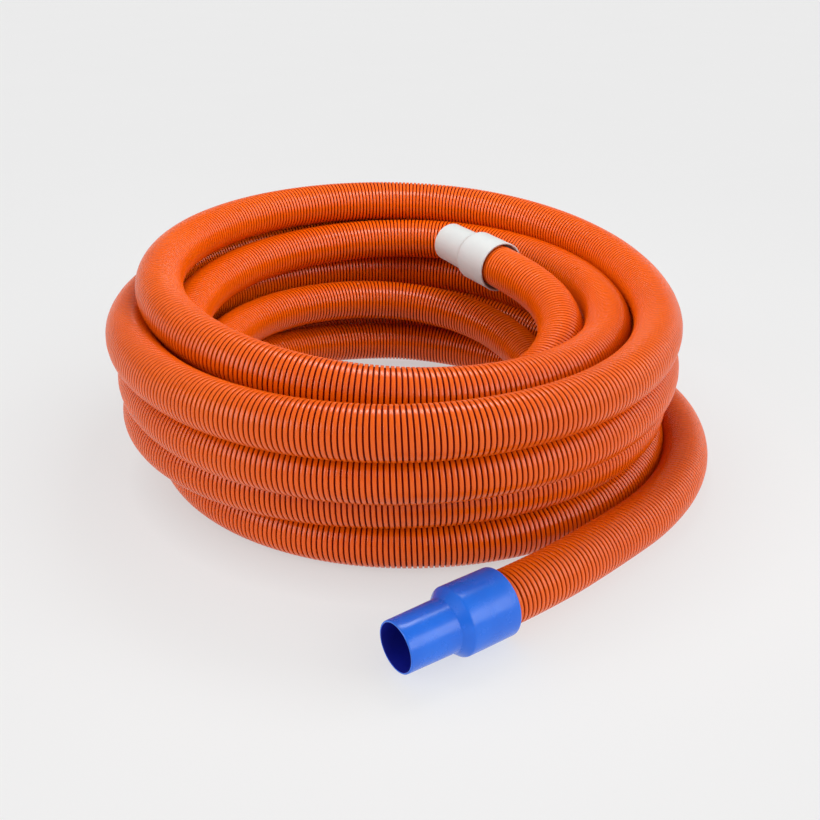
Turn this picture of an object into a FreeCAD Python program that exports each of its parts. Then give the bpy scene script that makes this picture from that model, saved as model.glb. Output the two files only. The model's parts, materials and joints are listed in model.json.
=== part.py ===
import FreeCAD, Part
import math
import os

# Swimming-pool vacuum hose, 38 mm (1 1/2 in) bore and 45 mm over its ribs, lying in a loose coil.
# One end carries a cuff that swivels on a bushing, the other a fixed screw-on cuff.
# Millimetres, +Z up. The origin is on the floor, under the middle of the whole outline.

V = FreeCAD.Vector

# Hose
HOSE_OD = 45.0
HOSE_R = HOSE_OD / 2
BORE_R = 19.0
ARC_SHARE = 0.45

# Coil: its axis, the rise from one turn to the next, and where each turn runs.
# A turn is given at the right, back, left and front, in the order in which the hose passes them:
# how far its centreline is from the coil's axis, and how many turns' height it lies above the floor.
COIL_AXIS = V(-14, 28, 0)
TURN_RISE = 44.0
TURNS = [
    ((295, 0.00), (294, 0.00), (230, 0.00), (220, 0.00)),
    ((251, 0.12), (266, 1.05), (260, 1.00), (230, 1.05)),
    ((248, 1.14), (280, 1.96), (257, 2.00), (260, 1.95)),
    ((255, 2.12), (305, 2.90), (263, 3.00), (272, 2.95)),
    ((251, 3.15), (286, 3.85), (236, 3.78), (210, 3.05)),
    ((207, 2.80), (260, 2.95), (215, 2.65), (194, 1.90)),
    ((192, 0.00), (235, 0.10), (195, 0.70), (163, 0.10)),
    ((149, 0.40), (225, 1.39), (190, 1.70), (150, 1.70)),
    ((163, 2.60),),
]
QUARTER = 90
FULL_TURN = 360
OUTLINE_STEP = 30

# The coil's solid: the turns stacked on each other, the heights of its sloping top at the front and
# back, and its stepped opening as (turn, first angle, height from which that turn bounds it).
STACKED_TURNS = 5
OUTSIDE_FIRST_ANGLE = 60
TOP_FRONT = (-230.0, 179.0)
TOP_BACK = (310.0, 216.0)
OPENING_STEPS = [(7, -30, -10.0), (5, -30, 122.0), (4, 60, 175.0)]

# Uncoiled stretches, from the coil's axis: the tail on the floor and the lead to the fixed cuff
TAIL = [(66, -318.6, 28), (118, -281.6, 28), (173, -228, 25.5), (232, -166, 22.5),
        (274, -95, 22.5), (293, -17, 22.5), (290, 65, 22.5)]
TAIL_INTO_COIL = (30, 47)
LEAD = [(155, -42, 135), (159, -3, 144), (151, 36, 152), (133, 72, 158), (112, 108, 161), (88, 146, 163)]
LEAD_OUT_OF_COIL = (2820, 2850)

# Both cuffs have a nozzle that tapers up to a sloping shoulder, and a wider sleeve over the hose
CORNER = 1.5

# Swivel cuff, along its axis from the hose's end face: positive over the hose, negative to the mouth
SWIVEL_MOUTH = -82.0
SWIVEL_SHOULDER = (-37.5, -30.0)
SWIVEL_REAR = 15.0
SWIVEL_REAR_CORNER = 4.0
SWIVEL_TIP_R = 20.7
SWIVEL_ROOT_R = 21.5
SWIVEL_SLEEVE_R = 28.0
SWIVEL_CAVITY_R = 25.75
SWIVEL_WAIST_R = 23.5
SWIVEL_LIP_R = 23.5
SWIVEL_LIP_LENGTH = 2.5
SEAL_SEAT = -8.0
SEAL_INNER_R = 20.5
SEAL_THICKNESS = 2.0
GROOVE_R = 26.75
RUNNING_GAP = 0.05
END_GAP = 0.1

# Bushing glued on the hose's end, on which the swivel cuff turns
BUSHING_NECK_R = 24.2
BUSHING_FLANGE = (-5.9, -1.0)
BUSHING_GUIDE_LENGTH = 5.0
RETAINER_LENGTH = 3.0
RETAINER_SPLIT = 6.0

# Fixed cuff, along its axis from the hose's end face
FIXED_MOUTH = -60.0
FIXED_SHOULDER = (-14.0, -5.0)
FIXED_REAR = 39.0
FIXED_TIP_R = 21.5
FIXED_ROOT_R = 22.2
FIXED_SLEEVE_R = 27.0
FIXED_RIM_R = 27.4
FIXED_SEAT = 27.0
FIXED_COUNTERBORE_R = 25.4


def turn_values(angle):
    """Reach and height of the centreline at an angle counted anticlockwise from the first right."""
    quarters = [quarter for turn in TURNS for quarter in turn]
    place = angle / QUARTER
    index = int(place)
    part = place - index
    result = []
    for column in (0, 1):
        a, b, c, d = (quarters[min(max(index + k, 0), len(quarters) - 1)][column] for k in (-1, 0, 1, 2))
        linear = (c - a) * part
        square = (2 * a - 5 * b + 4 * c - d) * part ** 2
        cube = (3 * b - a - 3 * c + d) * part ** 3
        result.append((2 * b + linear + square + cube) / 2)
    reach, height = result
    return reach, HOSE_R + TURN_RISE * max(height, 0)


def turn_point(angle, beyond=0.0, level=None):
    """A point of the coil's centreline, or one that lies further out or in, at a given level."""
    reach, height = turn_values(angle)
    turned = math.radians(angle)
    z = height if level is None else level
    return COIL_AXIS + V((reach + beyond) * math.cos(turned), (reach + beyond) * math.sin(turned), z)


def prism(turn, first_angle, beyond, bottom, top):
    """An upright prism on the closed outline of one turn, moved out or in by beyond."""
    start = FULL_TURN * turn + first_angle
    points = [turn_point(start + step, beyond, bottom) for step in range(0, FULL_TURN, OUTLINE_STEP)]
    outline = Part.BSplineCurve()
    outline.interpolate(points, PeriodicFlag=True)
    face = Part.Face(Part.Wire([outline.toShape()]))
    return face.extrude(V(0, 0, top - bottom))


def coil_solid():
    """The outer shape of the whole coil: stacked turns, a sloping top and a stepped opening."""
    full_height = TURN_RISE * STACKED_TURNS
    stack = [
        prism(k, OUTSIDE_FIRST_ANGLE, HOSE_R, TURN_RISE * k, TURN_RISE * (k + 1))
        for k in range(STACKED_TURNS)
    ]
    solid = stack[0].multiFuse(stack[1:])
    for turn, first_angle, bottom in OPENING_STEPS:
        solid = solid.cut(prism(turn, first_angle, -HOSE_R, bottom, full_height + HOSE_OD))
    return solid.cut(above_the_slope(full_height)).removeSplitter()


def above_the_slope(full_height):
    """Everything above the coil's sloping top, which is low at the front and high at the back."""
    (front_y, front_z), (back_y, back_z) = TOP_FRONT, TOP_BACK
    slope = (back_z - front_z) / (back_y - front_y)
    side = 2 * (back_y - front_y)
    low = V(-side / 2, -side / 2, front_z + slope * (-side / 2 - front_y))
    high = V(-side / 2, side / 2, front_z + slope * (side / 2 - front_y))
    lid = [low, high, V(high.x, high.y, 2 * full_height), V(low.x, low.y, 2 * full_height), low]
    wedge = Part.Face(Part.makePolygon(lid)).extrude(V(side, 0, 0))
    wedge.translate(COIL_AXIS)
    return wedge


def rounded_path(name, points):
    """Straight runs joined by tangent arcs that are as large as the runs beside them allow."""
    edges = []
    start = points[0]
    radii = []
    for before, corner, after in zip(points, points[1:], points[2:]):
        back = before - corner
        onward = after - corner
        reach = ARC_SHARE * min(back.Length, onward.Length)
        half_turn = (math.pi - back.getAngle(onward)) / 2
        radius = reach / math.tan(half_turn)
        back.normalize()
        onward.normalize()
        middle_way = (back + onward).normalize()
        middle = corner + middle_way * (radius / math.cos(half_turn) - radius)
        first = corner + back * reach
        last = corner + onward * reach
        edges.append(Part.LineSegment(start, first).toShape())
        edges.append(Part.Arc(first, middle, last).toShape())
        start = last
        radii.append(round(radius))
    edges.append(Part.LineSegment(start, points[-1]).toShape())
    wire = Part.Wire(edges)
    print(name, "arc radii", radii, "length", round(wire.Length, 1))
    return wire


def swept(path, start, heading, radius):
    ring = Part.Wire([Part.Circle(start, heading, radius).toShape()])
    return path.makePipeShell([ring], True, False)


def hose_tube(name, points):
    """A plain hose wall along a route."""
    path = rounded_path(name, points)
    heading = points[1] - points[0]
    wall = swept(path, points[0], heading, HOSE_R).cut(swept(path, points[0], heading, BORE_R))
    section = math.pi * (HOSE_R ** 2 - BORE_R ** 2)
    print(name, "volume against section times length", round(wall.Volume / (section * path.Length), 4))
    return wall


def turned(profile):
    """A solid turned about +X from (position along the axis, radius) points."""
    points = [V(along, 0, radius) for along, radius in profile]
    face = Part.Face(Part.makePolygon(points + points[:1]))
    return face.revolve(V(0, 0, 0), V(1, 0, 0), FULL_TURN)


def placed(shape, end, heading):
    """Put a shape made about +X at the hose's end, with +X pointing back along the hose."""
    result = shape.copy()
    result.Placement = FreeCAD.Placement(end, FreeCAD.Rotation(V(1, 0, 0), heading))
    return result


def softened(shape, along, size, radius):
    """Round the circular edge of a given radius at a given position along the axis."""
    rings = [edge for edge in shape.Edges if isinstance(edge.Curve, Part.Circle)]
    chosen = [
        ring for ring in rings
        if abs(ring.Curve.Center.x - along) < 1e-6 and abs(ring.Curve.Radius - size) < 1e-6
    ]
    return shape.makeFillet(radius, chosen)


def swivel_cuff():
    """Stepped cuff: nozzle, sloping shoulder, and a lipped sleeve that turns on the bushing."""
    shoulder_start, shoulder_end = SWIVEL_SHOULDER
    lip_start = SWIVEL_REAR - SWIVEL_LIP_LENGTH
    retainer_start = BUSHING_FLANGE[1] + END_GAP
    retainer_end = retainer_start + RETAINER_LENGTH
    shell = turned([
        (SWIVEL_MOUTH, BORE_R), (SWIVEL_MOUTH, SWIVEL_TIP_R), (shoulder_start, SWIVEL_ROOT_R),
        (shoulder_end, SWIVEL_SLEEVE_R), (SWIVEL_REAR, SWIVEL_SLEEVE_R), (SWIVEL_REAR, SWIVEL_LIP_R),
        (lip_start, SWIVEL_LIP_R), (lip_start, SWIVEL_CAVITY_R),
        (retainer_end, SWIVEL_CAVITY_R), (retainer_end, GROOVE_R), (retainer_start, GROOVE_R),
        (retainer_start, SWIVEL_CAVITY_R), (SEAL_SEAT, SWIVEL_CAVITY_R), (SEAL_SEAT, SWIVEL_WAIST_R),
        (shoulder_end - CORNER, SWIVEL_WAIST_R), (shoulder_start + CORNER, BORE_R),
    ])
    shell = softened(shell, SWIVEL_REAR, SWIVEL_SLEEVE_R, SWIVEL_REAR_CORNER)
    return softened(shell, shoulder_end, SWIVEL_SLEEVE_R, CORNER)


def swivel_bushing():
    """Bushing glued on the hose: a front flange that stops the hose, a neck and a rear guide."""
    flange_start, flange_end = BUSHING_FLANGE
    guide_end = SWIVEL_REAR - SWIVEL_LIP_LENGTH - END_GAP
    guide_start = guide_end - BUSHING_GUIDE_LENGTH
    bearing_r = SWIVEL_CAVITY_R - RUNNING_GAP
    return turned([
        (flange_start, BORE_R), (flange_start, bearing_r), (flange_end, bearing_r),
        (flange_end, BUSHING_NECK_R), (guide_start, BUSHING_NECK_R), (guide_start, bearing_r),
        (guide_end, bearing_r), (guide_end, HOSE_R), (0, HOSE_R), (0, BORE_R),
    ])


def swivel_seal():
    """Flat rubber ring between the bushing's flange and its seat in the cuff."""
    seal_end = SEAL_SEAT + SEAL_THICKNESS
    return turned([
        (SEAL_SEAT, SEAL_INNER_R), (SEAL_SEAT, SWIVEL_CAVITY_R),
        (seal_end, SWIVEL_CAVITY_R), (seal_end, SEAL_INNER_R),
    ])


def swivel_retainer():
    """Split ring snapped into the cuff's groove, behind the bushing's flange."""
    start = BUSHING_FLANGE[1] + END_GAP
    end = start + RETAINER_LENGTH
    inner_r = BUSHING_NECK_R + END_GAP
    ring = turned([(start, inner_r), (start, GROOVE_R), (end, GROOVE_R), (end, inner_r)])
    split = Part.makeBox(2 * RETAINER_LENGTH, RETAINER_SPLIT, GROOVE_R)
    split.translate(V(start - RETAINER_LENGTH / 2, -RETAINER_SPLIT / 2, 0))
    return ring.cut(split)


def fixed_cuff():
    """Stepped cuff screwed on the hose's ribs, with a flared rim round the hose."""
    shoulder_start, shoulder_end = FIXED_SHOULDER
    shell = turned([
        (FIXED_MOUTH, BORE_R), (FIXED_MOUTH, FIXED_TIP_R), (shoulder_start, FIXED_ROOT_R),
        (shoulder_end, FIXED_SLEEVE_R), (FIXED_REAR, FIXED_RIM_R), (FIXED_REAR, FIXED_COUNTERBORE_R),
        (FIXED_SEAT, FIXED_COUNTERBORE_R), (FIXED_SEAT, HOSE_R), (0, HOSE_R), (0, BORE_R),
    ])
    return softened(shell, shoulder_end, FIXED_SLEEVE_R, CORNER)


def main():
    tail = [COIL_AXIS + V(*point) for point in TAIL] + [turn_point(a) for a in TAIL_INTO_COIL]
    lead = [turn_point(a) for a in LEAD_OUT_OF_COIL] + [COIL_AXIS + V(*point) for point in LEAD]
    tail_end, tail_heading = tail[0], tail[1] - tail[0]
    lead_end, lead_heading = lead[-1], lead[-2] - lead[-1]
    nodes = {
        "hose_coil": coil_solid(),
        "hose_tail": hose_tube("hose_tail", tail),
        "hose_lead": hose_tube("hose_lead", lead),
        "swivel_cuff": placed(swivel_cuff(), tail_end, tail_heading),
        "swivel_bushing": placed(swivel_bushing(), tail_end, tail_heading),
        "swivel_seal": placed(swivel_seal(), tail_end, tail_heading),
        "swivel_retainer": placed(swivel_retainer(), tail_end, tail_heading),
        "fixed_cuff": placed(fixed_cuff(), lead_end, lead_heading),
    }
    whole = FreeCAD.BoundBox()
    os.makedirs("parts", exist_ok=True)
    for node, shape in nodes.items():
        whole.add(shape.BoundBox)
        print(node, len(shape.Solids), "solid, valid", shape.isValid(), "volume", round(shape.Volume / 1000, 1))
        shape.exportStep("parts/" + node + ".step")
    print("box", whole)
    print("swivel cuff axis from", tail_end, "along", tail_heading.normalize())
    print("fixed cuff axis from", lead_end, "along", lead_heading.normalize())


main()
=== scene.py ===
"""Swimming-pool vacuum hose in a loose coil: ribbed orange hose, blue swivel cuff, white fixed cuff.

Metres, in the frame's own axes: +Z up, -Y to the front, +X to the right.
"""

import json
import math

import bpy
import numpy as np
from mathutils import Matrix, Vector


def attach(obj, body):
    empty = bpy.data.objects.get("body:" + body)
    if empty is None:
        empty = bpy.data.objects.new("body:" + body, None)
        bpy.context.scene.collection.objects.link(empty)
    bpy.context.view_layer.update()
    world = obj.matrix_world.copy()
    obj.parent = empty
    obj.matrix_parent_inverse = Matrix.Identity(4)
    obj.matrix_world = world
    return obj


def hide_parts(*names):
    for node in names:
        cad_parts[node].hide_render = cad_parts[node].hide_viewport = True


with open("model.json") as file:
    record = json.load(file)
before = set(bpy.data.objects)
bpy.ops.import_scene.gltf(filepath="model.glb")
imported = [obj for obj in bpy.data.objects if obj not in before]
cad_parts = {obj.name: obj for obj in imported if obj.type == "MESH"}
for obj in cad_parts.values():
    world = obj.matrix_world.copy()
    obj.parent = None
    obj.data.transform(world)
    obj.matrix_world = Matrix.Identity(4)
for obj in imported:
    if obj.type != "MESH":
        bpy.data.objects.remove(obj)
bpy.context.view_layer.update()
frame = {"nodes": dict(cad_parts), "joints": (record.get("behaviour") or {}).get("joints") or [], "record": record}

# ------------------------------------------------------------------ sizes and places
HOSE_OD = 0.045
HOSE_R = HOSE_OD / 2
BORE_R = 0.019

# The coil, turn by turn: right, back, left, front, as (reach from the coil's axis, height in turns).
# Angles are in degrees, anticlockwise from the first right.
COIL_AXIS = Vector((-0.014, 0.028, 0.0))
TURN_RISE = 0.044
TURNS = [
    ((0.295, 0.00), (0.294, 0.00), (0.230, 0.00), (0.220, 0.00)),
    ((0.251, 0.12), (0.266, 1.05), (0.260, 1.00), (0.230, 1.05)),
    ((0.248, 1.14), (0.280, 1.96), (0.257, 2.00), (0.260, 1.95)),
    ((0.255, 2.12), (0.305, 2.90), (0.263, 3.00), (0.272, 2.95)),
    ((0.251, 3.15), (0.286, 3.85), (0.236, 3.78), (0.210, 3.05)),
    ((0.207, 2.80), (0.260, 2.95), (0.215, 2.65), (0.194, 1.90)),
    ((0.192, 0.00), (0.235, 0.10), (0.195, 0.70), (0.163, 0.10)),
    ((0.149, 0.40), (0.225, 1.39), (0.190, 1.70), (0.150, 1.70)),
    ((0.163, 2.60),),
]
QUARTER = 90
COIL_FIRST_ANGLE = 30
COIL_LAST_ANGLE = 2850
COIL_ANGLE_STEP = 15

# The uncoiled stretches, from the coil's axis
TAIL = [(0.066, -0.3186, 0.028), (0.118, -0.2816, 0.028), (0.173, -0.228, 0.0255),
        (0.232, -0.166, 0.0225), (0.274, -0.095, 0.0225), (0.293, -0.017, 0.0225),
        (0.290, 0.065, 0.0225)]
LEAD = [(0.155, -0.042, 0.135), (0.159, -0.003, 0.144), (0.151, 0.036, 0.152),
        (0.133, 0.072, 0.158), (0.112, 0.108, 0.161), (0.088, 0.146, 0.163)]

# The order of the spline along the hose's line, and how finely the line is drawn
ROUTE_ORDER = 3
ROUTE_RESOLUTION = 16

# The thin web under the ribs
WEB_OUTER_R = 0.0210
WEB_SIDES = 24
WEB_STEP = 0.008

# Ribs: one helical band wound on the web, with a narrow groove left between its turns. It stops
# short of the hose's ends by a margin, and is cut across into pieces of equal length.
RIB_PITCH = 0.0044
RIB_SIDES = 32
RIB_MARGIN = 0.003
RIB_PIECES = 13
# (place across the band as a share of the pitch, depth below the crown) round the band's section
RIB_SECTION = [
    (-0.350, 0.0018), (-0.345, 0.0006), (-0.315, 0.00012), (-0.250, 0.0),
    (0.250, 0.0), (0.315, 0.00012), (0.345, 0.0006), (0.350, 0.0018),
]

# How finely the cuffs are turned, and the roundings that both have at the mouth and the shoulder
CUFF_SIDES = 160
CUFF_LONGEST_EDGE = 0.006
ROUNDING_STEPS = 6
MOUTH_INNER_ROUNDING = 0.0006
MOUTH_OUTER_ROUNDING = 0.0012
SHOULDER_FOOT_ROUNDING = 0.0015

# Swivel cuff, along its axis from the hose's end: positive over the hose, negative to the mouth
SWIVEL_MOUTH = -0.0820
SWIVEL_SHOULDER = (-0.0375, -0.0300)
SWIVEL_SHOULDER_ROUNDING = 0.0035
SWIVEL_REAR = 0.0150
SWIVEL_REAR_ROUNDING = 0.0042
SWIVEL_TIP_R = 0.0207
SWIVEL_ROOT_R = 0.0215
SWIVEL_SLEEVE_R = 0.0280
SWIVEL_CAVITY_R = 0.02575
SWIVEL_WAIST_R = 0.0235
SWIVEL_WAIST_OFFSET = 0.0015
SWIVEL_WAIST_ROUNDING = 0.0020
SWIVEL_LIP_START = 0.0125
SWIVEL_LIP_R = 0.0235
SWIVEL_LIP_ROUNDING = 0.0005
SEAL_SEAT = -0.0080
GROOVE = (-0.0009, 0.0022)
GROOVE_R = 0.02675

# Fixed cuff, along its axis from the hose's end
FIXED_MOUTH = -0.0600
FIXED_SHOULDER = (-0.0140, -0.0050)
FIXED_SHOULDER_ROUNDING = 0.0030
FIXED_RIM_START = 0.0365
FIXED_RIM_START_ROUNDING = 0.0060
FIXED_REAR = 0.0390
FIXED_RIM_ROUNDING = 0.0006
FIXED_TIP_R = 0.0215
FIXED_ROOT_R = 0.0222
FIXED_SLEEVE_R = 0.0270
FIXED_RIM_R = 0.0274
FIXED_SEAT = 0.0270
FIXED_SEAT_R = 0.0226
FIXED_COUNTERBORE_R = 0.0254

# How far from the bore's wall a face still counts as the bore's, and gets the bore's painted shade
BORE_SKIN = 0.0003

# Colours: a pair is a darker and a lighter tone
RIB_ORANGE = (0.74, 0.090, 0.000), (0.78, 0.106, 0.001)
RIB_SPECKLE = (0.84, 0.130, 0.002)
WEB_BROWN = (0.110, 0.003, 0.001), (0.170, 0.006, 0.001)
CUFF_BLUE = (0.003, 0.118, 0.66), (0.005, 0.145, 0.74)
# The bore's navy is painted shade: the same blue plastic, darker where shade falls inside the bore
BORE_SHADE_NAVY = (0.006, 0.010, 0.26), (0.009, 0.016, 0.36)
CUFF_WHITE = (0.54, 0.56, 0.56), (0.58, 0.60, 0.59)
BUSHING_GREY = (0.020, 0.020, 0.024), (0.035, 0.035, 0.040)
SEAL_BLACK = (0.010, 0.010, 0.010), (0.018, 0.018, 0.018)
RETAINER_WHITE = (0.55, 0.55, 0.54), (0.62, 0.62, 0.60)

# Camera: its place, its pitch below the horizontal in degrees, how far it sees, and its sensor and
# lens in millimetres
CAMERA_PLACE = (-0.0043, -0.929, 0.5015)
CAMERA_PITCH = 25.6
CAMERA_FAR = 100
SENSOR_WIDTH = 36.0
LENS = 44.82


# ------------------------------------------------------------------ camera
def add_camera():
    data = bpy.data.cameras.new("camera")
    data.sensor_width = SENSOR_WIDTH
    data.lens = LENS
    data.clip_end = CAMERA_FAR
    camera = bpy.data.objects.new("camera", data)
    camera.location = CAMERA_PLACE
    camera.rotation_euler = (math.radians(90 - CAMERA_PITCH), 0, 0)
    bpy.context.scene.collection.objects.link(camera)
    bpy.context.scene.camera = camera


# ------------------------------------------------------------------ the hose's route
def turn_values(angle):
    """Reach and height of the centreline at an angle, on a smooth curve through the quarters' values."""
    quarters = [quarter for turn in TURNS for quarter in turn]
    place = angle / QUARTER
    index = int(place)
    part = place - index
    result = []
    for column in (0, 1):
        a, b, c, d = (quarters[min(max(index + k, 0), len(quarters) - 1)][column] for k in (-1, 0, 1, 2))
        linear = (c - a) * part
        square = (2 * a - 5 * b + 4 * c - d) * part ** 2
        cube = (3 * b - a - 3 * c + d) * part ** 3
        result.append((2 * b + linear + square + cube) / 2)
    reach, height = result
    return reach, HOSE_R + TURN_RISE * max(height, 0)


def coil_point(angle):
    reach, height = turn_values(angle)
    turned = math.radians(angle)
    return COIL_AXIS + Vector((reach * math.cos(turned), reach * math.sin(turned), height))


def route_points():
    """Control points of the hose's centreline, from the swivel cuff to the fixed cuff."""
    coil = [coil_point(a) for a in range(COIL_FIRST_ANGLE, COIL_LAST_ANGLE + 1, COIL_ANGLE_STEP)]
    return [COIL_AXIS + Vector(p) for p in TAIL] + coil + [COIL_AXIS + Vector(p) for p in LEAD]


def smooth_line(points):
    """Points along the NURBS spline that has these control points."""
    curve = bpy.data.curves.new("route", "CURVE")
    curve.dimensions = "3D"
    curve.resolution_u = ROUTE_RESOLUTION
    spline = curve.splines.new("NURBS")
    spline.points.add(len(points) - 1)
    for control, point in zip(spline.points, points):
        control.co = (*point, 1)
    spline.order_u = ROUTE_ORDER
    spline.use_endpoint_u = True
    holder = bpy.data.objects.new("route", curve)
    bpy.context.scene.collection.objects.link(holder)
    line = bpy.data.meshes.new_from_object(holder.evaluated_get(bpy.context.evaluated_depsgraph_get()))
    result = np.array([v.co for v in line.vertices], float)
    bpy.data.objects.remove(holder)
    bpy.data.curves.remove(curve)
    bpy.data.meshes.remove(line)
    return result


class Route:
    """A line with a frame that doesn't twist along it."""

    def __init__(self, points):
        self.points = points
        steps = np.linalg.norm(np.diff(points, axis=0), axis=1)
        self.along = np.concatenate([[0], np.cumsum(steps)])
        self.length = self.along[-1]
        heading = np.gradient(points, self.along, axis=0)
        heading /= np.linalg.norm(heading, axis=1)[:, None]
        side = np.zeros_like(points)
        side[0] = np.cross(heading[0], (0, 0, 1))
        for i in range(1, len(points)):
            kept = side[i - 1] - heading[i] * side[i - 1].dot(heading[i])
            side[i] = kept / np.linalg.norm(kept)
        self.side = side
        self.up = np.cross(side, heading)

    def at(self, along):
        """Places, side and up directions at distances along the line."""
        def read(values):
            return np.stack([np.interp(along, self.along, values[:, k]) for k in range(3)], axis=-1)
        return read(self.points), read(self.side), read(self.up)

    def surface(self, along, turned, radius):
        """Points at an angle and a radius round the line; the three arrays have the same shape."""
        place, side, up = self.at(along)
        outward = np.cos(turned)[..., None] * up + np.sin(turned)[..., None] * side
        return place + radius[..., None] * outward


# ------------------------------------------------------------------ meshes
def grid_mesh(name, rows, closed_across, closed_along, caps=False):
    """A mesh object from an array of rows of points; caps close the first and last rows."""
    count, across = rows.shape[:2]
    index = np.arange(count * across).reshape(count, across)
    if closed_along:
        index = np.vstack([index, index[:1]])
    if closed_across:
        index = np.hstack([index, index[:, :1]])
    quads = np.stack([index[:-1, :-1], index[:-1, 1:], index[1:, 1:], index[1:, :-1]], axis=-1)
    corners = quads.reshape(-1)
    sizes = np.full(len(corners) // 4, 4)
    if caps:
        first = np.arange(across)[::-1]
        last = np.arange(across) + (count - 1) * across
        corners = np.concatenate([corners, first, last])
        sizes = np.concatenate([sizes, [across, across]])
    starts = np.concatenate([[0], np.cumsum(sizes)[:-1]])
    mesh = bpy.data.meshes.new(name)
    mesh.vertices.add(count * across)
    mesh.vertices.foreach_set("co", rows.reshape(-1).astype(np.float32))
    mesh.loops.add(len(corners))
    mesh.loops.foreach_set("vertex_index", corners.astype(np.int32))
    mesh.polygons.add(len(sizes))
    mesh.polygons.foreach_set("loop_start", starts.astype(np.int32))
    mesh.polygons.foreach_set("loop_total", sizes.astype(np.int32))
    mesh.update(calc_edges=True)
    mesh.validate()
    mesh.shade_smooth()
    piece = bpy.data.objects.new(name, mesh)
    bpy.context.scene.collection.objects.link(piece)
    return piece


def web_mesh(route):
    """The hose's thin web: a tube with a wall, open at both ends."""
    count = int(route.length / WEB_STEP)
    along = np.linspace(0, route.length, count)
    turned = np.linspace(0, 2 * math.pi, WEB_SIDES, endpoint=False)
    along_grid, turned_grid = np.meshgrid(along, turned, indexing="ij")
    outside = route.surface(along_grid, turned_grid, np.full(along_grid.shape, WEB_OUTER_R))
    inside = route.surface(along_grid, turned_grid, np.full(along_grid.shape, BORE_R))
    rows = np.concatenate([outside, inside[::-1]])
    return grid_mesh("hose_web", rows, closed_across=True, closed_along=True)


def rib_mesh(route, name, first_turn, last_turn):
    """A stretch of the helical rib band."""
    sections = np.arange(first_turn * RIB_SIDES, last_turn * RIB_SIDES + 1)
    turns = sections / RIB_SIDES
    across = np.array([place for place, depth in RIB_SECTION])
    radii = HOSE_R - np.array([depth for place, depth in RIB_SECTION])
    along = RIB_MARGIN + RIB_PITCH * (turns[:, None] + 0.5 + across[None, :])
    turned = np.repeat((2 * math.pi * turns)[:, None], len(across), axis=1)
    radius = np.repeat(radii[None, :], len(turns), axis=0)
    rows = route.surface(along, turned, radius)
    return grid_mesh(name, rows, closed_across=True, closed_along=False, caps=True)


def rounded_profile(corners):
    """(along, radius, rounding) corners of a closed outline, with each corner rounded by an arc."""
    points = []
    for i, (along, radius, rounding) in enumerate(corners):
        here = np.array((along, radius))
        if not rounding:
            points.append(here)
            continue
        before = np.array(corners[i - 1][:2]) - here
        after = np.array(corners[(i + 1) % len(corners)][:2]) - here
        before_length, after_length = np.linalg.norm(before), np.linalg.norm(after)
        before, after = before / before_length, after / after_length
        half = math.acos(max(-1, min(1, before.dot(after)))) / 2
        just_under_half = 0.49 * min(before_length, after_length)
        reach = min(rounding / math.tan(half), just_under_half)
        size = reach * math.tan(half)
        middle_way = (before + after) / np.linalg.norm(before + after)
        centre = here + middle_way * size / math.sin(half)
        start, end = here + before * reach - centre, here + after * reach - centre
        start_angle = math.atan2(start[1], start[0])
        sweep = (math.atan2(end[1], end[0]) - start_angle + math.pi) % (2 * math.pi) - math.pi
        for k in range(ROUNDING_STEPS + 1):
            angle = start_angle + sweep * k / ROUNDING_STEPS
            points.append(centre + size * np.array((math.cos(angle), math.sin(angle))))
    return points


def turned_piece(name, corners, place, axis):
    """A solid of revolution about an axis, from the corners of its outline."""
    outline = rounded_profile(corners)
    dense = []
    for start, end in zip(outline, outline[1:] + outline[:1]):
        pieces = max(1, int(np.linalg.norm(end - start) / CUFF_LONGEST_EDGE))
        dense.extend(start + (end - start) * k / pieces for k in range(pieces))
    dense = np.array(dense)
    axis = Vector(axis).normalized()
    across = axis.cross(Vector((0, 0, 1))).normalized()
    up = across.cross(axis)
    turned = np.linspace(0, 2 * math.pi, CUFF_SIDES, endpoint=False)
    ring = np.cos(turned)[:, None] * np.array(up) + np.sin(turned)[:, None] * np.array(across)
    rows = (np.array(place) + dense[None, :, :1] * np.array(axis)
            + dense[None, :, 1:] * ring[:, None, :])
    return grid_mesh(name, rows, closed_across=True, closed_along=True)


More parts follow.
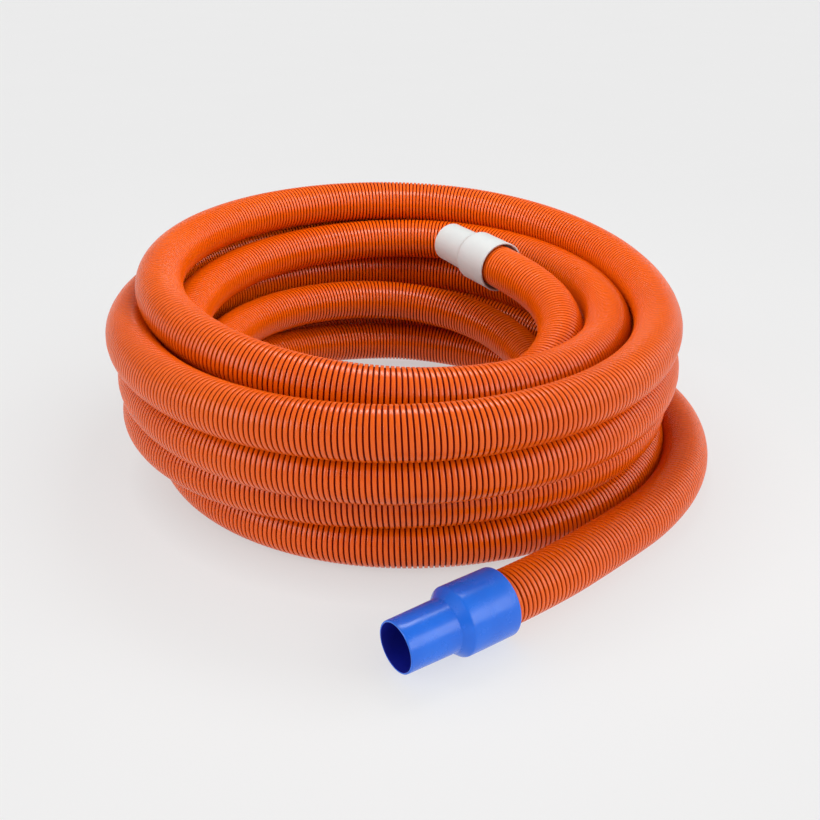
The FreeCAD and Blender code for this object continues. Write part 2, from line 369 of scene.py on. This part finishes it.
# ------------------------------------------------------------------ materials
class Paint:
    """A node material that is put together a step at a time."""

    def __init__(self, name, roughness, specular=0.5):
        self.material = bpy.data.materials.new(name)
        self.material.use_nodes = True
        self.tree = self.material.node_tree
        self.shader = self.tree.nodes["Principled BSDF"]
        self.shader.inputs["Roughness"].default_value = roughness
        self.shader.inputs["Specular IOR Level"].default_value = specular
        self.place = self.tree.nodes.new("ShaderNodeTexCoord").outputs["Object"]

    def link(self, output, node_input):
        self.tree.links.new(output, node_input)

    def noise(self, scale, detail):
        node = self.tree.nodes.new("ShaderNodeTexNoise")
        node.inputs["Scale"].default_value = scale
        node.inputs["Detail"].default_value = detail
        self.link(self.place, node.inputs["Vector"])
        return node.outputs["Fac"]

    def ramp(self, value, low, high, from_low=0.3, from_high=0.7):
        """A value taken from one range to another; the first is where most of a noise's values lie."""
        node = self.tree.nodes.new("ShaderNodeMapRange")
        node.inputs["From Min"].default_value = from_low
        node.inputs["From Max"].default_value = from_high
        node.inputs["To Min"].default_value = low
        node.inputs["To Max"].default_value = high
        self.link(value, node.inputs["Value"])
        return node.outputs["Result"]

    def mix(self, factor, first, second):
        """A colour between two colours; each is a tuple or an output."""
        node = self.tree.nodes.new("ShaderNodeMix")
        node.data_type = "RGBA"
        self.link(factor, node.inputs["Factor"])
        for socket, value in ((node.inputs[6], first), (node.inputs[7], second)):
            if isinstance(value, tuple):
                socket.default_value = (*value, 1)
            else:
                self.link(value, socket)
        return node.outputs[2]

    def add(self, first, second):
        node = self.tree.nodes.new("ShaderNodeMath")
        node.operation = "ADD"
        self.link(first, node.inputs[0])
        self.link(second, node.inputs[1])
        return node.outputs[0]

    def colour(self, output):
        self.link(output, self.shader.inputs["Base Color"])

    def roughness(self, output):
        self.link(output, self.shader.inputs["Roughness"])

    def bump(self, height, distance, strength):
        node = self.tree.nodes.new("ShaderNodeBump")
        node.inputs["Strength"].default_value = strength
        node.inputs["Distance"].default_value = distance
        self.link(height, node.inputs["Height"])
        self.link(node.outputs["Normal"], self.shader.inputs["Normal"])


def rib_paint():
    """Glossy orange polyethylene, a little uneven in colour, with fine scuffs."""
    paint = Paint("hose_rib", roughness=0.22, specular=0.38)
    tone = paint.mix(paint.ramp(paint.noise(scale=9, detail=3), 0, 1), *RIB_ORANGE)
    paint.colour(paint.mix(paint.ramp(paint.noise(scale=220, detail=2), 0, 0.2), tone, RIB_SPECKLE))
    paint.roughness(paint.ramp(paint.noise(scale=60, detail=3), 0.19, 0.25))
    paint.bump(paint.noise(scale=700, detail=2), distance=0.0001, strength=0.05)
    return paint.material


def web_paint():
    """Dark red-brown web between the ribs."""
    paint = Paint("hose_web", roughness=0.5, specular=0.05)
    paint.colour(paint.mix(paint.ramp(paint.noise(scale=60, detail=3), 0, 1), *WEB_BROWN))
    paint.roughness(paint.ramp(paint.noise(scale=140, detail=3), 0.5, 0.7))
    paint.bump(paint.noise(scale=700, detail=2), distance=0.0001, strength=0.1)
    return paint.material


def moulded_paint(name, tones, rough_low, rough_high, specular=0.5):
    """Moulded plastic: faint flow marks, an orange-peel skin and a few dull patches."""
    paint = Paint(name, rough_low, specular)
    paint.colour(paint.mix(paint.ramp(paint.noise(scale=35, detail=4), 0, 1), *tones))
    paint.roughness(paint.ramp(paint.noise(scale=90, detail=5), rough_low, rough_high))
    skin = paint.add(paint.noise(scale=420, detail=3), paint.noise(scale=60, detail=2))
    paint.bump(skin, distance=0.0002, strength=0.12)
    return paint.material


def shade_bore_faces(piece, place, axis, material):
    """Gives the faces of the bore a material of their own, which carries the painted shade inside the bore."""
    piece.data.materials.append(material)
    axis = np.array(Vector(axis).normalized())
    centres = np.array([face.center for face in piece.data.polygons]) - np.array(place)
    distance = np.linalg.norm(centres - np.outer(centres @ axis, axis), axis=1)
    in_painted_bore_shade = (distance < BORE_R + BORE_SKIN).astype(np.int32)
    piece.data.polygons.foreach_set("material_index", in_painted_bore_shade)


def dress(piece, material, body):
    piece.data.materials.clear()
    piece.data.materials.append(material)
    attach(piece, body)


# ------------------------------------------------------------------ cuffs
def swivel_corners():
    """Outline of the swivel cuff: (distance from the hose's end, radius, rounding)."""
    shoulder_start, shoulder_end = SWIVEL_SHOULDER
    groove_start, groove_end = GROOVE
    return [
        (SWIVEL_MOUTH, BORE_R, MOUTH_INNER_ROUNDING),
        (SWIVEL_MOUTH, SWIVEL_TIP_R, MOUTH_OUTER_ROUNDING),
        (shoulder_start, SWIVEL_ROOT_R, SHOULDER_FOOT_ROUNDING),
        (shoulder_end, SWIVEL_SLEEVE_R, SWIVEL_SHOULDER_ROUNDING),
        (SWIVEL_REAR, SWIVEL_SLEEVE_R, SWIVEL_REAR_ROUNDING),
        (SWIVEL_REAR, SWIVEL_LIP_R, SWIVEL_LIP_ROUNDING),
        (SWIVEL_LIP_START, SWIVEL_LIP_R, 0),
        (SWIVEL_LIP_START, SWIVEL_CAVITY_R, 0),
        (groove_end, SWIVEL_CAVITY_R, 0),
        (groove_end, GROOVE_R, 0),
        (groove_start, GROOVE_R, 0),
        (groove_start, SWIVEL_CAVITY_R, 0),
        (SEAL_SEAT, SWIVEL_CAVITY_R, 0),
        (SEAL_SEAT, SWIVEL_WAIST_R, 0),
        (shoulder_end - SWIVEL_WAIST_OFFSET, SWIVEL_WAIST_R, SWIVEL_WAIST_ROUNDING),
        (shoulder_start + SWIVEL_WAIST_OFFSET, BORE_R, SWIVEL_WAIST_ROUNDING),
    ]


def fixed_corners():
    """Outline of the fixed cuff, with its flared rim round the hose."""
    shoulder_start, shoulder_end = FIXED_SHOULDER
    return [
        (FIXED_MOUTH, BORE_R, MOUTH_INNER_ROUNDING),
        (FIXED_MOUTH, FIXED_TIP_R, MOUTH_OUTER_ROUNDING),
        (shoulder_start, FIXED_ROOT_R, SHOULDER_FOOT_ROUNDING),
        (shoulder_end, FIXED_SLEEVE_R, FIXED_SHOULDER_ROUNDING),
        (FIXED_RIM_START, FIXED_SLEEVE_R, FIXED_RIM_START_ROUNDING),
        (FIXED_REAR, FIXED_RIM_R, FIXED_RIM_ROUNDING),
        (FIXED_REAR, FIXED_COUNTERBORE_R, FIXED_RIM_ROUNDING),
        (FIXED_SEAT, FIXED_COUNTERBORE_R, 0),
        (FIXED_SEAT, FIXED_SEAT_R, 0),
        (0, FIXED_SEAT_R, 0),
        (0, BORE_R, 0),
    ]


def add_swivel_cuff():
    joint = frame["joints"][0]
    cuff = turned_piece("swivel_cuff_moulding", swivel_corners(), joint["pos_m"], joint["axis"])
    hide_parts("swivel_cuff")
    blue = moulded_paint("blue_plastic", CUFF_BLUE, rough_low=0.20, rough_high=0.30)
    dress(cuff, blue, "cuff")
    # Painted shade inside the bore: a darker navy for the same blue plastic
    bore_shade_navy = moulded_paint("blue_plastic_bore_shade", BORE_SHADE_NAVY, rough_low=0.45, rough_high=0.6, specular=0.2)
    shade_bore_faces(cuff, joint["pos_m"], joint["axis"], bore_shade_navy)


def add_fixed_cuff():
    bore = next(m for m in frame["record"]["mounts"] if m["name"] == "fixed_cuff_bore")
    # The mount is at the middle of its bore, which runs from the mouth to the hose's end
    half_bore = bore["dims"]["length_mm"] / 1000 / 2
    back_along_hose = -Vector(bore["axis"])
    hose_end = Vector(bore["pos_m"]) + back_along_hose * half_bore
    cuff = turned_piece("fixed_cuff_moulding", fixed_corners(), hose_end, back_along_hose)
    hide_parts("fixed_cuff")
    white = moulded_paint("white_plastic", CUFF_WHITE, rough_low=0.32, rough_high=0.45, specular=0.3)
    dress(cuff, white, "hose")
    return cuff


def dress_inner_pieces():
    dark = moulded_paint("bushing_plastic", BUSHING_GREY, rough_low=0.35, rough_high=0.5)
    rubber = moulded_paint("seal_rubber", SEAL_BLACK, rough_low=0.6, rough_high=0.8)
    pale = moulded_paint("retainer_plastic", RETAINER_WHITE, rough_low=0.35, rough_high=0.5)
    for node, material in (("swivel_bushing", dark), ("swivel_seal", rubber), ("swivel_retainer", pale)):
        mesh = frame["nodes"][node].data
        mesh.materials.clear()
        mesh.materials.append(material)


# ------------------------------------------------------------------ the hose
def add_hose():
    control = route_points()
    route = Route(smooth_line(control))
    web = web_mesh(route)
    dress(web, web_paint(), "hose")
    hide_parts("hose_coil", "hose_tail", "hose_lead")
    orange = rib_paint()
    turns = int((route.length - 2 * RIB_MARGIN) / RIB_PITCH - 1)
    ends = np.linspace(0, turns, RIB_PIECES + 1).astype(int)
    for number, (first, last) in enumerate(zip(ends, ends[1:]), start=1):
        rib = rib_mesh(route, f"hose_ribs_{number:02d}", first, last)
        dress(rib, orange, "hose")


# ------------------------------------------------------------------ studio
# The floor: half its width, its colour and how uneven that is, and its glow, which is weaker inside
# the coil as painted shade on the floor there. The glow rises between two distances from the coil's axis.
FLOOR_SIZE = 30.0
FLOOR_WHITE = 0.25
FLOOR_UNEVEN = 0.005
FLOOR_GLOW = 0.62
FLOOR_GLOW_IN_COIL_SHADE = 0.20
FLOOR_GLOW_RISE = (0.08, 0.28)

# The surround's brightness above the backdrop, where no soft box is
SURROUND = 0.06
# A pale backdrop up to a little over the horizon: its brightness, and the heights at which it starts
# to fade and ends, as the upward part of a direction of length one
BACKDROP_GLOW = 0.82
BACKDROP_START = 0.13
BACKDROP_END = 0.22
# Soft boxes far away: (brightness, direction, half-widths to the side and upwards, softness of edge)
SOFT_BOXES = [
    (3.1, (-0.85, -0.38, 0.42), (0.36, 0.28), 0.12),
    (3.1, (0.72, -0.55, 0.42), (0.34, 0.28), 0.12),
    (1.7, (1.0, 0.20, 0.45), (0.40, 0.35), 0.30),
    (0.2, (0.0, -1.0, 0.30), (0.80, 0.40), 0.5),
    (0.4, (0.0, -0.05, 1.0), (0.80, 0.80), 0.4),
]
# The soft box over the coil
TOP_BOX_PLACE = (0.03, 0.06, 0.66)
TOP_BOX_SIZE = (0.40, 0.22)
TOP_BOX_WATTS = 2.0


def add_floor():
    size = FLOOR_SIZE
    rows = np.array([[(-size, -size, 0), (-size, size, 0)], [(size, -size, 0), (size, size, 0)]], float)
    floor = grid_mesh("floor", rows, closed_across=False, closed_along=False)
    paint = Paint("floor", roughness=0.6, specular=0.0)
    low, high = FLOOR_WHITE - FLOOR_UNEVEN, FLOOR_WHITE + FLOOR_UNEVEN
    paint.colour(paint.mix(paint.noise(scale=3, detail=2), (low, low, low), (high, high, high)))
    paint.shader.inputs["Emission Color"].default_value = (1, 1, 1, 1)
    from_axis = paint.tree.nodes.new("ShaderNodeVectorMath")
    from_axis.operation = "DISTANCE"
    paint.link(paint.place, from_axis.inputs[0])
    from_axis.inputs[1].default_value = COIL_AXIS
    # Painted shade: the floor glows less inside the coil, where the coil shades it
    glow = paint.ramp(from_axis.outputs["Value"], FLOOR_GLOW_IN_COIL_SHADE, FLOOR_GLOW, *FLOOR_GLOW_RISE)
    paint.link(glow, paint.shader.inputs["Emission Strength"])
    floor.data.materials.append(paint.material)


class Surround:
    """The studio round the object, as the world's brightness by direction."""

    def __init__(self):
        world = bpy.data.worlds.new("studio")
        world.use_nodes = True
        bpy.context.scene.world = world
        self.tree = world.node_tree
        self.background = self.tree.nodes["Background"]
        self.background.inputs["Color"].default_value = (1, 1, 1, 1)
        self.direction = self.tree.nodes.new("ShaderNodeTexCoord").outputs["Generated"]

    def along(self, axis):
        """How far a direction points along an axis."""
        node = self.tree.nodes.new("ShaderNodeVectorMath")
        node.operation = "DOT_PRODUCT"
        self.tree.links.new(self.direction, node.inputs[0])
        node.inputs[1].default_value = axis
        return node.outputs["Value"]

    def calculate(self, operation, *values):
        """The result of a Math node; each value is a number or an output."""
        node = self.tree.nodes.new("ShaderNodeMath")
        node.operation = operation
        for socket, value in zip(node.inputs, values):
            if isinstance(value, float):
                socket.default_value = value
            else:
                self.tree.links.new(value, socket)
        return node.outputs[0]

    def edge(self, value, inside, outside):
        """One inside, falling smoothly to nought outside."""
        node = self.tree.nodes.new("ShaderNodeMapRange")
        node.interpolation_type = "SMOOTHSTEP"
        node.inputs["From Min"].default_value = outside
        node.inputs["From Max"].default_value = inside
        self.tree.links.new(value, node.inputs["Value"])
        return node.outputs["Result"]

    def soft_box(self, brightness, direction, half_widths, softness):
        """Brightness of a rectangle with soft edges, on its own side of the surround only."""
        ahead = Vector(direction).normalized()
        side = ahead.cross(Vector((0, 0, 1))).normalized()
        upward = side.cross(ahead)
        mask = self.edge(self.along(ahead), inside=0.3, outside=0.0)
        for axis, half_width in ((side, half_widths[0]), (upward, half_widths[1])):
            away = self.calculate("ABSOLUTE", self.along(axis))
            side_mask = self.edge(away, half_width - softness / 2, half_width + softness / 2)
            mask = self.calculate("MULTIPLY", mask, side_mask)
        return self.calculate("MULTIPLY", mask, brightness)


def add_surround():
    surround = Surround()
    boxes = surround.soft_box(*SOFT_BOXES[0])
    for soft_box in SOFT_BOXES[1:]:
        boxes = surround.calculate("ADD", boxes, surround.soft_box(*soft_box))
    above = surround.edge(surround.along((0, 0, 1)), inside=BACKDROP_END, outside=BACKDROP_START)
    above_light = surround.calculate("MULTIPLY", above, surround.calculate("ADD", boxes, SURROUND))
    backdrop = surround.calculate("MULTIPLY", surround.calculate("SUBTRACT", 1.0, above), BACKDROP_GLOW)
    total = surround.calculate("ADD", above_light, backdrop)
    surround.tree.links.new(total, surround.background.inputs["Strength"])


def add_top_box():
    light = bpy.data.lights.new("top_box", "AREA")
    light.shape = "RECTANGLE"
    light.size, light.size_y = TOP_BOX_SIZE
    light.energy = TOP_BOX_WATTS
    top_box = bpy.data.objects.new("top_box", light)
    top_box.location = TOP_BOX_PLACE
    bpy.context.scene.collection.objects.link(top_box)


add_camera()
add_swivel_cuff()
white_cuff = add_fixed_cuff()
add_hose()
dress_inner_pieces()
add_floor()
add_surround()
add_top_box()
bpy.context.scene.view_settings.view_transform = "Standard"
